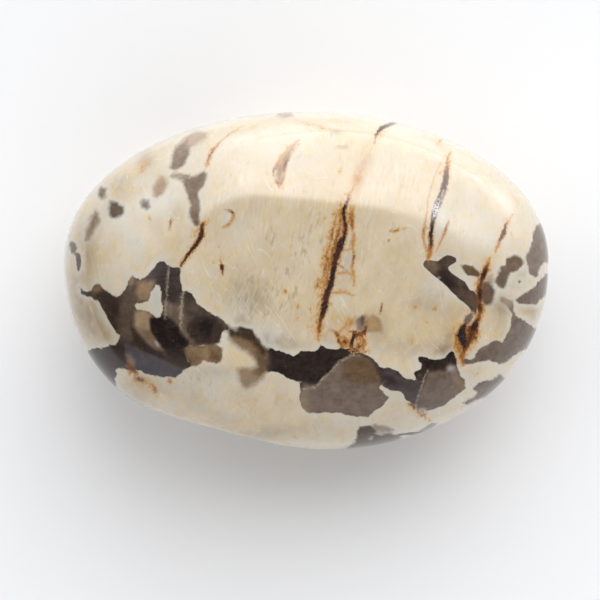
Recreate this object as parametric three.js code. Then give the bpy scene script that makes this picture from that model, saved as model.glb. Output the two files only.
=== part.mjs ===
// A polished feldspar pebble: one natural stone, ground by hand into a long
// rounded shape with a broad face, softly bevelled round it, and one small true
// flat that it rests on. The coloured bands and veins in it are flush with the
// polish, so they add no relief.
//
// Millimetres, +Z up. +X runs along the stone, +Y across its broad face, and
// the broad face looks up. The origin is on the resting flat's plane, under the
// middle of the stone's box.

import * as THREE from "three";
import { mergeVertices } from "three/addons/utils/BufferGeometryUtils.js";

// Outline of the widest section, seen from above
const LENGTH = 75;
const REACH_TO_PLUS_Y = 23; // from the line where the stone is longest
const REACH_TO_MINUS_Y = 29.4;
const ROUNDNESS_PLUS_Y = 2.03; // 2 is an ellipse, and more is squarer
const ROUNDNESS_MINUS_Y = 2.2;

// Height above and below the widest section, before any grinding
const DOME_ABOVE = 17.5;
const DOME_BELOW = 18;
const ROUNDNESS_OF_SECTION = 2.2;

// The true flat lies this far below the widest section
const RESTING_DEPTH = 17.3;

// Soft flats left by the grinding wheel: the way each one faces, and how far its
// plane lies from the middle of the widest section
const SOFT_FLATS = {
  broadFace: { faces: [0.058, -0.09, 1], distance: 14.22 },
  bevelPlusY: { faces: [0.112, 0.4, 1], distance: 17.36 },
  bevelPlusXPlusY: { faces: [0.22, 0.22, 1], distance: 18.05 },
  bevelMinusY: { faces: [0.03, -0.46, 1], distance: 19.1 },
  flankMinusY: { faces: [-0.27, -1, 0], distance: 28.8 },
  underMinusX: { faces: [-0.32, 0.26, -1], distance: 20.2 },
  underPlusX: { faces: [0.36, -0.3, -1], distance: 21.6 },
};

// How tightly the polish follows an edge between two of those surfaces: a plain
// sharp edge would be infinite
const EDGE_TIGHTNESS = 50;

// Each of an icosahedron's faces is split this many times along an edge
const SPLITS = 16;

const STONE_COLOUR = 0xd8cdb4;
const STONE_ROUGHNESS = 0.16;

const flats = Object.values(SOFT_FLATS).map(({ faces, distance }) => ({
  normal: new THREE.Vector3(...faces).normalize(),
  distance,
}));

// How far out a point is, as a share of the way to the unground stone's surface
function shareOfRoundForm({ x, y, z }) {
  const halfWidth = y > 0 ? REACH_TO_PLUS_Y : REACH_TO_MINUS_Y;
  const roundness = y > 0 ? ROUNDNESS_PLUS_Y : ROUNDNESS_MINUS_Y;
  const dome = z > 0 ? DOME_ABOVE : DOME_BELOW;
  const outline =
    (Math.abs(x / (LENGTH / 2)) ** roundness +
      Math.abs(y / halfWidth) ** roundness) **
    (1 / roundness);
  return (
    (outline ** ROUNDNESS_OF_SECTION +
      Math.abs(z / dome) ** ROUNDNESS_OF_SECTION) **
    (1 / ROUNDNESS_OF_SECTION)
  );
}

// The same share for the finished stone, where the soft flats join the round
// form with eased edges
function shareOfStone(point) {
  let sum = shareOfRoundForm(point) ** EDGE_TIGHTNESS;
  for (const { normal, distance } of flats) {
    const share = Math.max(0, point.dot(normal) / distance);
    sum += share ** EDGE_TIGHTNESS;
  }
  return sum ** (1 / EDGE_TIGHTNESS);
}

// Moves a point along its ray from the middle of the widest section onto the
// stone's surface. Rays that would leave below the resting flat end on it.
function moveToSurface(point) {
  point.divideScalar(shareOfStone(point));
  if (point.z < -RESTING_DEPTH) {
    point.multiplyScalar(-RESTING_DEPTH / point.z);
    point.z = -RESTING_DEPTH;
  }
}

function stoneGeometry() {
  const sphere = new THREE.IcosahedronGeometry(1, SPLITS - 1);
  sphere.deleteAttribute("normal");
  sphere.deleteAttribute("uv");
  const geometry = mergeVertices(sphere, 1e-5);
  const positions = geometry.getAttribute("position");
  const halfWidth = (REACH_TO_PLUS_Y + REACH_TO_MINUS_Y) / 2;
  const stretch = new THREE.Vector3(LENGTH / 2, halfWidth, DOME_ABOVE);
  const point = new THREE.Vector3();
  for (let i = 0; i < positions.count; i++) {
    point.fromBufferAttribute(positions, i).multiply(stretch);
    moveToSurface(point);
    positions.setXYZ(i, point.x, point.y, point.z);
  }
  geometry.computeBoundingBox();
  const { min, max } = geometry.boundingBox;
  geometry.translate(-(min.x + max.x) / 2, -(min.y + max.y) / 2, RESTING_DEPTH);
  geometry.computeVertexNormals();
  return geometry;
}

const pebble = new THREE.Mesh(
  stoneGeometry(),
  new THREE.MeshStandardMaterial({
    color: STONE_COLOUR,
    roughness: STONE_ROUGHNESS,
    metalness: 0,
  }),
);
pebble.name = "pebble";

const part = new THREE.Group();
part.add(pebble);

export default part;
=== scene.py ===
# A polished feldspar pebble, laid on its small flat and seen from straight above: cream
# feldspar with smoky quartz patches and rusty veins, all flush with the polish.
# The stone's surface is worked out from the same few dimensions as the solid, and its
# markings are outlines, lines and soft spots chosen in the photograph's pixels.

import math

import bpy
import numpy as np
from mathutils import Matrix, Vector


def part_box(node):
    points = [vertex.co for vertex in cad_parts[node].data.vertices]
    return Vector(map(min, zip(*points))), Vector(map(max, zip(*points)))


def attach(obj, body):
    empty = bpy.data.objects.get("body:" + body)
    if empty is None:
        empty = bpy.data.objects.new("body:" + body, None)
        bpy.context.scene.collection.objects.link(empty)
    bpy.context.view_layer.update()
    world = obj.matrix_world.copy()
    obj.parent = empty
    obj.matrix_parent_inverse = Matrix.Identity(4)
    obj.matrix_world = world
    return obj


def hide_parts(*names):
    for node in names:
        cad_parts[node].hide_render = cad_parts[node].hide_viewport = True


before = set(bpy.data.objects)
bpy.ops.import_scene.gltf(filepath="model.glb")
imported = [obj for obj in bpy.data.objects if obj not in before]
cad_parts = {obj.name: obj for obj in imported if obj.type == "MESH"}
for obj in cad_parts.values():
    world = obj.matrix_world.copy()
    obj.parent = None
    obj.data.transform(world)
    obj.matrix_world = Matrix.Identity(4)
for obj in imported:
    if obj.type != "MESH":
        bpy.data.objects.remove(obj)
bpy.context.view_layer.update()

MM = 0.001

# The lights' radiance and tint, the small lamp's direction and the angle out to its edge,
# and the front panel's place and size in metres
WINDOW_RADIANCE = 2.9
SIDE_RADIANCE = 0.9
LAMP_RADIANCE = 12.0
PANEL_RADIANCE = 0.75
LIGHT_TINT = (0.985, 0.995, 1.03, 1)
LAMP_DIRECTION = (0.63, 0.775, 0.03)
LAMP_EDGE = math.radians(2.2)
PANEL_PLACE = (0.2, -0.6, 0.8)
PANEL_SIZE = (1.2, 0.8)

# The floor's half size and how far it lies below the stone, in metres, and its
# roughness
FLOOR_HALF = 3.0
FLOOR_DROP = 0.00005
FLOOR_ROUGHNESS = 0.7

# Outline of the widest section, in millimetres, as the solid has it
LENGTH = 75.0
REACH_TO_PLUS_Y = 23.0
REACH_TO_MINUS_Y = 29.4
ROUNDNESS_PLUS_Y = 2.03
ROUNDNESS_MINUS_Y = 2.2

# Height above and below the widest section, and the resting flat's depth below it
DOME_ABOVE = 17.5
DOME_BELOW = 18.0
ROUNDNESS_OF_SECTION = 2.2
RESTING_DEPTH = 17.3

# Soft flats left by the grinding wheel: the way each faces, and its plane's distance
SOFT_FLATS = {
    "broad_face": ((0.058, -0.09, 1), 14.22),
    "bevel_plus_y": ((0.112, 0.4, 1), 17.36),
    "bevel_plus_x_plus_y": ((0.22, 0.22, 1), 18.05),
    "bevel_minus_y": ((0.03, -0.46, 1), 19.1),
    "flank_minus_y": ((-0.27, -1, 0), 28.8),
    "under_minus_x": ((-0.32, 0.26, -1), 20.2),
    "under_plus_x": ((0.36, -0.3, -1), 21.6),
}
EDGE_TIGHTNESS = 50

# The surface mesh: squares along each edge of the box whose grid is blown up into the
# stone, and the half sizes of that box
GRID = (200, 140, 60)
GRID_BOX = (30.0, 21.0, 10.0)

# The middle of the widest section, in the frame's millimetres
node_low, node_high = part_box("pebble")
SECTION_MIDDLE = np.array([
    (node_low.x + node_high.x) / 2 / MM,
    node_high.y / MM - REACH_TO_PLUS_Y,
    node_low.z / MM + RESTING_DEPTH,
])

# The camera looks straight down. In the photograph the middle of the widest section is
# at MIDDLE_PIXEL, where a millimetre is PIXELS_PER_MM pixels.
PHOTO_SIZE = 600
MIDDLE_PIXEL = (306.2, 260.7)
PIXELS_PER_MM = 6.45
CAMERA_ABOVE_SECTION = 430.0
CAMERA_REACH = 10  # metres
SENSOR = 36.0
CAMERA = SECTION_MIDDLE + np.array([
    (PHOTO_SIZE / 2 - MIDDLE_PIXEL[0]) / PIXELS_PER_MM,
    (MIDDLE_PIXEL[1] - PHOTO_SIZE / 2) / PIXELS_PER_MM,
    CAMERA_ABOVE_SECTION,
])
LENS = SENSOR * PIXELS_PER_MM * CAMERA_ABOVE_SECTION / PHOTO_SIZE

# The depths below the widest section, in millimetres, between which the underside's
# markings take over from the upper side's, and the share of the stains lost there
UNDERSIDE_TAKES_OVER = (-1.0, 4.0)
STAINS_LOST_UNDER = 0.4

# Where quartz patches meet, their tones blend: a patch's weight grows this fast with each
# pixel inward, between these distances from its edge
PATCH_BLEND = 0.6
PATCH_BLEND_REACH = (-60, 6)

# Pixels by which the veins move to the side for each millimetre below the widest section,
# taken in turn
VEIN_LEANS = (1.5, 0.9, 0.3, -0.3, -0.9)

# How many pixels beyond its edge a vein is still worked out, and the half width and the
# offset that stand for no vein
VEIN_MARGIN = 4.5
NO_VEIN_WIDTH = -20.0
NO_VEIN_OFFSET = 20.0

# A vein's rusty halo: the half widths in pixels at which the vein has none and all of
# it, and how steeply it falls off
HALO_HALF_WIDTHS = (-1.0, 1.5)
HALO_FALL = 1.4

# The polish: the stone's own roughness at its smoothest and dullest, its refractive
# index, and the clear coat's roughness and how much of it lies on each mineral
SMOOTHEST = 0.13
DULLEST = 0.19
REFRACTIVE_INDEX = 1.45
COAT_ROUGHNESS = 0.06
COAT_ON_FELDSPAR = 0.95
COAT_ON_QUARTZ = 0.25


def colour(red, green, blue):
    """A display colour, 0 to 255, as linear light with full cover."""
    parts = [c / 255 for c in (red, green, blue)]
    linear = [c / 12.92 if c <= 0.04045 else ((c + 0.055) / 1.055) ** 2.4 for c in parts]
    return (*linear, 1.0)


FELDSPAR_TAN = colour(204, 184, 150)
FELDSPAR_CREAM = colour(216, 198, 168)
# Pale feldspar, also painted on as highlight along the upper edge
FELDSPAR_PALE_AND_HIGHLIGHT = colour(230, 219, 200)
FELDSPAR_MILKY = colour(204, 200, 188)
FELDSPAR_WARM_AND_SHADE = colour(204, 180, 134)
FELDSPAR_YELLOW = colour(214, 192, 142)
FELDSPAR_GREEN = colour(166, 154, 122)
FELDSPAR_TAWNY_AND_SHADE = colour(154, 132, 102)
FELDSPAR_RUSTY = colour(182, 134, 88)
FELDSPAR_SMOKY = colour(150, 150, 152)
QUARTZ_FLECKS = colour(170, 164, 158)
# Painted glint: the light grey that stands in for the shine of the vein's metallic grains
PAINTED_VEIN_GLINT = colour(214, 212, 210)
FLOOR_COLOURS = (colour(243, 243, 242), colour(246, 246, 245))

# Display colours along a scale: the quartz's from pale to dark, where it is grey, brown
# and blue, and the vein filling's from white through orange to blue black
QUARTZ_GREY = (
    (0, (170, 158, 144)), (0.3, (128, 114, 104)), (0.5, (102, 88, 80)), (0.75, (62, 50, 45)),
    (1, (32, 24, 22)),
)
QUARTZ_BROWN = (
    (0, (180, 148, 106)), (0.3, (138, 114, 84)), (0.5, (104, 82, 58)), (0.75, (64, 49, 37)),
    (1, (32, 24, 20)),
)
QUARTZ_BLUE = ((0, (160, 160, 158)), (0.5, (82, 76, 78)), (1, (34, 30, 32)))
VEIN_FILLING = (
    (0, (214, 208, 196)), (0.18, (208, 188, 158)), (0.4, (194, 134, 60)),
    (0.56, (142, 86, 40)), (0.7, (92, 54, 34)), (0.82, (54, 30, 22)), (0.96, (34, 30, 36)),
)

# Rust in the feldspar, from light to dark: how stained the stone is where each colour
# starts and where it is complete, how much that covers, and the colour
RUST = (
    (0.0, 0.55, 0.65, colour(206, 162, 94)),
    (0.22, 0.95, 0.8, colour(162, 102, 44)),
    (0.6, 1.2, 0.9, colour(84, 46, 24)),
)

# Quartz patches of the upper side: how dark each is (0 pale, 1 near black), how brown
# (0 grey, 1 brown), how softly it ends, in pixels, and its outline in the photograph
FRONT_QUARTZ = {
    "slivers": (0.5, 0.6, 0.6, [
        (77, 252), (80, 254), (81, 260), (80, 268), (78, 272), (76, 266), (76, 258)]),
    "left_mass": (0.68, 0.45, 0.8, [
        (80, 287), (83, 290), (87, 292), (91, 291), (92, 287), (96, 283), (100, 283), (103, 288),
        (112, 295), (116, 297), (120, 295), (125, 290), (128, 283), (130, 276), (133, 275), (136, 278),
        (140, 279), (144, 278), (160, 261), (164, 261), (167, 265), (181, 268), (180, 278), (181, 286),
        (183, 290), (188, 290), (192, 294), (198, 303), (210, 313), (221, 319), (230, 327), (232, 330),
        (222, 332), (220, 343), (216, 344), (192, 346), (185, 348), (190, 367), (185, 369), (176, 377),
        (160, 377), (138, 371), (126, 370), (120, 368), (115, 369), (116, 375), (115, 380), (116, 386),
        (118, 391), (112, 405), (84, 385), (78, 362), (87, 352), (94, 347), (100, 349), (110, 345),
        (115, 346), (118, 342), (119, 336), (114, 330), (109, 322), (98, 301), (91, 297), (84, 296),
        (81, 293)]),
    "strip_cap": (0.8, 0.75, 1.4, [
        (224, 329), (230, 328), (234, 330), (238, 329), (240, 327), (251, 328), (257, 337), (265, 347),
        (264, 352), (256, 348), (250, 342), (243, 338), (236, 338), (230, 335)]),
    "band": (0.92, 0.3, 0.6, [
        (262, 346), (264, 350), (268, 350), (271, 348), (275, 350), (280, 351), (294, 356), (297, 355),
        (300, 352), (304, 351), (316, 351), (319, 349), (320, 344), (323, 345), (327, 348), (332, 349),
        (338, 349), (341, 346), (345, 349), (350, 348), (352, 351), (361, 353), (370, 357), (374, 360),
        (380, 367), (384, 368), (388, 368), (393, 370), (398, 371), (404, 377), (408, 379), (412, 380),
        (416, 380), (414, 373), (421, 369), (422, 366), (417, 358), (421, 357), (426, 357), (430, 359),
        (434, 360), (446, 358), (448, 354), (450, 352), (453, 351), (457, 359), (457, 364), (461, 376),
        (465, 382), (465, 388), (461, 392), (450, 400), (446, 404), (441, 407), (435, 409), (428, 410),
        (420, 410), (411, 402), (406, 400), (404, 394), (400, 391), (394, 392), (390, 391), (381, 385),
        (380, 388), (386, 395), (389, 397), (384, 404), (368, 417), (362, 416), (358, 417), (346, 415),
        (340, 413), (334, 413), (327, 412), (313, 414), (307, 412), (302, 408), (300, 402), (300, 386),
        (302, 382), (295, 381), (284, 376), (278, 372), (265, 372), (261, 368), (260, 356)]),
    "bar": (0.68, 0.5, 0.35, [
        (423, 263), (425, 260), (430, 260), (437, 262), (443, 257), (447, 255), (452, 256), (456, 258),
        (456, 262), (448, 267), (448, 269), (451, 273), (465, 282), (470, 290), (474, 291), (478, 297),
        (479, 300), (478, 306), (475, 314), (468, 306), (458, 298), (446, 286), (424, 267)]),
    "leaf": (0.5, 1, 1.2, [
        (460, 265), (466, 265), (472, 267), (477, 270), (480, 276), (475, 277), (469, 275), (463, 271)]),
    "bean": (0.54, 0.5, 2.6, [
        (482, 280), (489, 281), (493, 286), (495, 292), (494, 299), (490, 305), (484, 304), (481, 299),
        (480, 292)]),
    "boot": (0.5, 0.5, 1.6, [
        (506, 259), (509, 257), (514, 256), (519, 256), (523, 258), (523, 262), (521, 267), (517, 271),
        (512, 272), (509, 276), (505, 286), (503, 289), (499, 287), (495, 283), (495, 279), (500, 271),
        (501, 267), (505, 264)]),
    "right_edge": (0.42, 0.35, 1.4, [
        (537, 225), (533, 235), (531, 245), (529, 251), (526, 256), (528, 269), (530, 274), (534, 277),
        (537, 276), (541, 265), (545, 262), (556, 264), (558, 240), (545, 222)]),
    "right_fin": (0.48, 0.4, 1, [
        (515, 300), (520, 296), (532, 289), (537, 284), (545, 274), (556, 270), (557, 288), (542, 298),
        (537, 303), (530, 305), (518, 303)]),
    "right_sweep": (0.46, 0.3, 1, [
        (507, 307), (510, 308), (511, 304), (514, 304), (514, 310), (516, 316), (520, 319), (524, 320),
        (530, 325), (538, 330), (545, 338), (533, 350), (522, 350), (504, 363), (499, 364), (490, 360),
        (478, 363), (464, 364), (460, 361), (466, 358), (470, 360), (474, 358), (475, 354), (484, 346),
        (495, 341), (502, 342), (506, 337), (511, 324), (512, 317), (511, 311)]),
    "low_streak": (0.74, 0.3, 0.5, [
        (398, 434), (419, 431), (432, 423), (437, 423), (432, 428), (424, 432), (414, 435), (399, 436)]),
    "hook_top": (0, 0.4, 3.4, [
        (208, 132), (198, 131), (190, 134), (183, 140), (178, 148), (184, 151), (207, 139)]),
    "hook": (0.32, 0.4, 2.4, [
        (190, 136), (183, 140), (177, 146), (173, 152), (170, 167), (174, 170), (181, 168), (186, 162),
        (189, 154), (191, 146)]),
    "fork_arm": (0.16, 0.4, 2.4, [(169, 177), (176, 172), (183, 173), (190, 175), (188, 182)]),
    "fork": (0.4, 0.5, 2.2, [
        (182, 180), (184, 177), (190, 177), (196, 176), (201, 172), (205, 170), (207, 174), (203, 187),
        (199, 191), (197, 197), (200, 201), (201, 206), (199, 219), (200, 224), (197, 228), (193, 225),
        (190, 219), (189, 212), (190, 204)]),
    "seed": (0.12, 0.7, 3, [
        (162, 176), (167, 179), (167, 187), (163, 194), (157, 198), (153, 196), (152, 190), (158, 178)]),
    "nut": (0.6, 0.8, 2.6, [
        (110, 201), (117, 202), (123, 207), (124, 212), (121, 217), (114, 219), (109, 215), (108, 207)]),
    "pip": (0.4, 0, 2.6, [(143, 199), (149, 201), (150, 207), (146, 210), (141, 207), (140, 203)]),
    "left_slip": (0.36, 0.9, 3.2, [
        (95, 210), (99, 213), (100, 219), (89, 241), (85, 241), (86, 232), (89, 222)]),
    # Painted shade: a dark brown patch on the left edge where shadow falls, not quartz
    "left_top_painted_shade": (0.5, 0.8, 3, [(101, 187), (106, 189), (105, 196), (101, 200), (98, 194)]),
    "left_sliver": (0.45, 0.3, 1.5, [(70, 241), (75, 242), (77, 248), (75, 255), (70, 252)]),
    "lobes": (0.36, 1, 1.3, [
        (184, 347), (192, 345), (200, 346), (216, 344), (222, 347), (223, 354), (222, 361), (216, 363),
        (208, 362), (203, 360), (200, 364), (196, 366), (190, 366), (186, 356)]),
    "strip": (0.34, 1, 4.6, [
        (226, 327), (236, 330), (246, 332), (254, 336), (268, 350), (269, 366), (262, 372), (257, 366),
        (255, 360), (249, 354), (235, 345), (230, 339)]),
    "brown_lobe": (0.24, 0.9, 4.4, [
        (237, 369), (242, 367), (250, 368), (257, 366), (262, 363), (267, 370), (265, 376), (253, 386),
        (247, 389), (242, 386), (237, 373)]),
    "sweep_tip": (0.22, 0.5, 1.6, [
        (499, 297), (505, 297), (509, 301), (512, 300), (514, 305), (513, 312), (508, 307), (500, 302)]),
    "dot": (0.4, 1, 0.7, [(518, 280), (521, 280), (522, 282), (520, 284), (518, 283)]),
    "beyond_vein": (0.05, 0.3, 3, [(487, 274), (493, 274), (494, 282), (490, 284), (485, 280)]),
    "tan_eye": (0.12, 1, 2.2, [
        (367, 316), (373, 315), (378, 317), (380, 321), (384, 333), (376, 333), (367, 332)]),
    "grey_eye": (0.3, 0.4, 2.8, [
        (355, 320), (358, 317), (362, 315), (366, 317), (366, 324), (365, 331), (361, 332), (357, 330)]),
    "ring": (0.42, 0.4, 1.3, [
        (466, 316), (470, 313), (473, 313), (474, 317), (472, 322), (468, 325), (465, 324), (464, 320)]),
    "right_low": (0.5, 0.3, 1.4, [
        (473, 388), (478, 384), (485, 381), (492, 379), (499, 374), (508, 380), (497, 393), (468, 404),
        (463, 403), (472, 398), (478, 393)]),
    "low_patch": (0.68, 1, 1.8, [
        (357, 431), (360, 427), (366, 426), (372, 426), (377, 429), (379, 432), (393, 434), (398, 436),
        (392, 441), (366, 449), (352, 452), (342, 451), (354, 442), (357, 437)]),
    "low_patch_grey": (0.16, 0.1, 2.4, [(374, 425), (386, 426), (394, 430), (386, 433), (376, 431)]),
    "low_patch_brown": (0.5, 1, 1.8, [
        (346, 450), (352, 445), (362, 442), (398, 436), (403, 437), (394, 442), (362, 455), (350, 456)]),
    "lens": (0.1, 0.5, 2.2, [
        (295, 145), (289, 157), (281, 184), (277, 183), (276, 175), (277, 168), (286, 152)]),
    "top_slip": (0, 0.3, 2.6, [(277, 107), (290, 109), (293, 116), (284, 119), (277, 116)]),
    # Painted highlight: a small pale spot where the polish glints
    "blue_dot": (0, 0, 0.6, [(419, 410), (422, 410), (424, 413), (423, 416), (420, 415)]),
}

# Feldspar left standing inside the quartz of the upper side
FRONT_ISLANDS = {
    "cream_island": [
        (135, 306), (137, 303), (148, 301), (152, 290), (156, 285), (159, 285), (161, 298), (163, 306),
        (162, 312), (160, 317), (156, 318), (148, 311), (137, 309)],
}

# Quartz patches of the lower side, told in the same way, as if seen through the stone
BACK_QUARTZ = {
    "right_back": (0.45, 0.4, 0.8, [
        (548, 222), (536, 246), (520, 262), (500, 280), (480, 288), (470, 305), (482, 322), (500, 332),
        (505, 345), (490, 362), (505, 375), (530, 356), (550, 325), (560, 280), (558, 240)]),
    "long_band": (0.6, 0.35, 0.8, [
        (70, 335), (100, 330), (130, 337), (160, 322), (190, 324), (215, 303), (240, 307), (262, 290),
        (292, 296), (310, 312), (332, 316), (344, 330), (322, 342), (292, 330), (262, 336), (240, 352),
        (212, 352), (190, 368), (160, 364), (138, 382), (124, 404), (100, 412), (75, 380)]),
    "low_back": (0.4, 0.25, 0.8, [
        (340, 456), (352, 430), (366, 412), (392, 402), (410, 412), (404, 424), (420, 432), (410, 446),
        (385, 458)]),
    "middle_back": (0.5, 0.4, 0.8, [
        (332, 204), (350, 192), (374, 196), (392, 212), (388, 228), (366, 224), (352, 236), (338, 226)]),
    "top_back": (0.3, 0.4, 0.8, [
        (196, 118), (226, 148), (222, 168), (206, 172), (192, 160), (184, 138), (180, 122)]),
    "small_back": (0.35, 0.5, 0.8, [(150, 214), (164, 208), (174, 220), (168, 236), (154, 232)]),
    "low_left_back": (0.4, 0.5, 0.8, [(236, 398), (256, 390), (276, 398), (270, 414), (246, 414)]),
}

# Zones inside the quartz: how dark, how brown, how blue, how soft their edge is in
# pixels, and an outline. Later ones lie over earlier ones.
QUARTZ_ZONES = {
    "mass_top": (0.76, 0.25, 0.3, 3, [
        (150, 270), (162, 256), (184, 262), (186, 288), (200, 300), (196, 312), (172, 306), (164, 300),
        (160, 284), (148, 278)]),
    "mass_left_tip": (0.95, 0.4, 0, 1.5, [(78, 286), (86, 289), (90, 294), (82, 297)]),
    "mass_left_brown": (0.42, 1, 0, 3, [
        (90, 292), (91, 283), (99, 280), (104, 286), (102, 292), (95, 294)]),
    "mass_left_dark": (0.82, 0.6, 0, 4, [
        (96, 294), (106, 290), (122, 300), (118, 316), (116, 328), (108, 318), (102, 304)]),
    "mass_mid": (0.6, 0.5, 0, 4, [
        (122, 298), (128, 288), (138, 284), (136, 302), (131, 326), (136, 336), (128, 346), (121, 334),
        (118, 318)]),
    "mass_mid_tip": (0.34, 0.9, 0, 2.5, [(128, 284), (130, 274), (135, 276), (134, 284), (130, 290)]),
    "mass_left_low": (0.82, 0.4, 0, 3, [
        (82, 346), (119, 342), (126, 350), (126, 368), (118, 372), (118, 400), (80, 390)]),
    # Painted reflection: a pale grey-blue gleam on the dark quartz
    "low_gleam": (0.45, 0.1, 0.3, 2.5, [(102, 371), (106, 373), (111, 382), (107, 382), (103, 378)]),
    "island_brown": (0.26, 1, 0, 4.5, [
        (137, 282), (146, 280), (155, 281), (151, 297), (148, 301), (138, 301), (136, 294)]),
    "tan_streak": (0.16, 0.75, 0, 3, [
        (134, 311), (142, 310), (149, 312), (153, 317), (151, 324), (152, 332), (156, 340), (162, 348),
        (157, 350), (149, 344), (134, 326)]),
    "streak_low": (0.4, 0.8, 0, 3, [
        (138, 328), (150, 330), (156, 340), (164, 350), (156, 350), (146, 342)]),
    "under_streak": (0.84, 0.6, 0, 2.5, [
        (131, 328), (138, 334), (148, 345), (168, 358), (176, 364), (190, 368), (190, 362), (182, 350),
        (172, 352), (180, 366), (152, 356), (142, 350), (134, 342)]),
    "crescent": (0.56, 0, 1, 2, [
        (126, 343), (142, 351), (152, 355), (174, 367), (186, 370), (170, 380), (152, 379), (138, 373),
        (130, 366), (125, 354)]),
    "crescent_edge": (0.34, 0.9, 0, 4, [(126, 354), (131, 354), (134, 360), (134, 368), (128, 364)]),
    "between_blobs": (0.46, 0.45, 0.1, 3, [
        (162, 300), (174, 304), (184, 304), (187, 318), (186, 330), (196, 342), (190, 346), (184, 338),
        (180, 328), (172, 318), (163, 314)]),
    "right_of_scratch": (0.66, 0.35, 0.1, 3, [
        (184, 296), (196, 298), (208, 309), (222, 318), (232, 328), (224, 332), (220, 324), (204, 316),
        (192, 318), (186, 316)]),
    "blob_one": (0.96, 0.3, 0, 1.6, [
        (150, 318), (163, 316), (169, 318), (174, 322), (178, 327), (180, 332), (189, 342), (186, 347),
        (173, 352), (165, 350), (160, 345), (151, 331), (150, 324)]),
    "under_blob": (0.86, 0.5, 0, 2, [
        (166, 348), (176, 348), (184, 352), (189, 360), (190, 367), (182, 367), (168, 356)]),
    "blob_two": (0.8, 0.35, 0, 1.8, [
        (188, 323), (194, 318), (204, 315), (214, 318), (222, 324), (225, 330), (220, 336), (217, 343),
        (208, 344), (198, 342), (190, 338), (187, 331)]),
    "blob_two_core": (0.96, 0.3, 0, 4, [
        (198, 320), (208, 318), (214, 324), (213, 334), (206, 338), (198, 334), (195, 327)]),
    "blob_two_foot": (0.9, 0.5, 0, 2, [(188, 330), (194, 330), (197, 336), (192, 337)]),
    "lobe_one": (0.46, 0.95, 0, 3, [(186, 350), (196, 350), (198, 358), (192, 364), (187, 358)]),
    "lobe_two": (0.5, 1, 0, 3, [(209, 350), (219, 349), (222, 356), (219, 361), (210, 358)]),
    "band_left": (0.5, 0.9, 0, 5, [
        (256, 344), (264, 346), (269, 354), (269, 366), (266, 376), (256, 374)]),
    "strip_dark": (0.76, 0.9, 0, 2.5, [
        (226, 326), (250, 326), (256, 340), (266, 350), (264, 356), (252, 342), (240, 337), (230, 335)]),
    "lobe_mauve": (0.22, 0.5, 0, 4, [(244, 376), (252, 375), (257, 380), (248, 387), (242, 382)]),
    "lobe_shade": (0.56, 0.45, 0, 3, [(302, 381), (310, 384), (318, 384), (316, 390), (302, 392)]),
    "lobe": (0.44, 0.35, 0, 1, [
        (303, 389), (316, 386), (320, 380), (325, 375), (331, 371), (338, 363), (350, 355), (354, 354),
        (362, 355), (372, 358), (378, 364), (384, 386), (392, 398), (384, 412), (366, 420), (298, 416),
        (298, 394)]),
    "lobe_left": (0.3, 0.7, 0, 4, [(299, 388), (309, 392), (312, 412), (304, 416), (298, 404)]),
    "lobe_brown": (0.56, 1, 0, 5, [
        (344, 364), (352, 357), (362, 357), (370, 361), (377, 372), (377, 382), (360, 382), (346, 378)]),
    "lobe_dark_edge": (0.74, 0.6, 0, 1.8, [
        (366, 355), (374, 359), (380, 367), (383, 376), (381, 384), (378, 374), (373, 364)]),
    "past_lobe": (0.68, 0.15, 0.5, 2, [
        (381, 365), (394, 368), (406, 378), (418, 378), (424, 380), (418, 396), (416, 408), (405, 402),
        (392, 392), (384, 387)]),
    "past_lobe_spot": (0.88, 0.2, 0.2, 3, [(385, 377), (393, 376), (395, 382), (388, 384)]),
    "right_lobe": (0.47, 0.35, 0, 3, [
        (428, 372), (440, 370), (450, 372), (458, 366), (468, 376), (470, 392), (452, 406), (428, 414),
        (416, 412), (418, 398)]),
    "right_lobe_brown": (0.42, 0.9, 0, 4, [
        (454, 374), (462, 376), (468, 384), (460, 394), (452, 398), (452, 386)]),
    "right_cloud": (0.05, 0, 0.5, 3, [(446, 367), (450, 364), (456, 366), (455, 371), (447, 372)]),
    "notch": (0.6, 0.9, 0, 1.5, [(417, 373), (423, 373), (422, 377), (418, 377)]),
    "bar_left": (0.5, 0.7, 0, 3, [(420, 258), (436, 260), (440, 268), (434, 274), (422, 268)]),
    "bar_dark": (0.88, 0.4, 0, 3, [
        (438, 271), (446, 271), (454, 278), (456, 287), (448, 288), (440, 281)]),
    "bar_low": (0.64, 0.55, 0, 4, [(464, 294), (474, 290), (482, 298), (477, 316), (468, 308)]),
    "boot_top": (0.5, 0.8, 0, 3, [(505, 256), (524, 254), (525, 264), (515, 274), (508, 266)]),
    "fork_low": (0.46, 0.8, 0, 3, [(192, 212), (199, 214), (201, 224), (198, 230), (193, 226)]),
    "sweep_left": (0.54, 0.5, 0, 4, [
        (458, 358), (478, 352), (492, 346), (504, 350), (496, 364), (460, 366)]),
    "streak_right": (0.2, 0.1, 0.3, 3, [(420, 424), (440, 420), (440, 430), (422, 434)]),
    # Painted highlight: the bluish tint of that small glint
    "blue_dot_tint": (0.05, 0, 1, 1, [(417, 408), (426, 408), (426, 418), (417, 418)]),
    "low_fleck_one": (0, 0, 0.6, 1, [(368, 440), (371, 436), (374, 436), (372, 440)]),
    "low_fleck_two": (0, 0, 0.6, 1.2, [(374, 434), (377, 431), (386, 434), (381, 436)]),
    "mass_fleck": (0, 0, 0.8, 1.2, [(154, 340), (157, 341), (161, 346), (157, 347)]),
    "eye_purple": (0.55, 0.6, 0, 1.5, [(360, 315), (364, 316), (364, 324), (361, 325)]),
}
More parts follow.
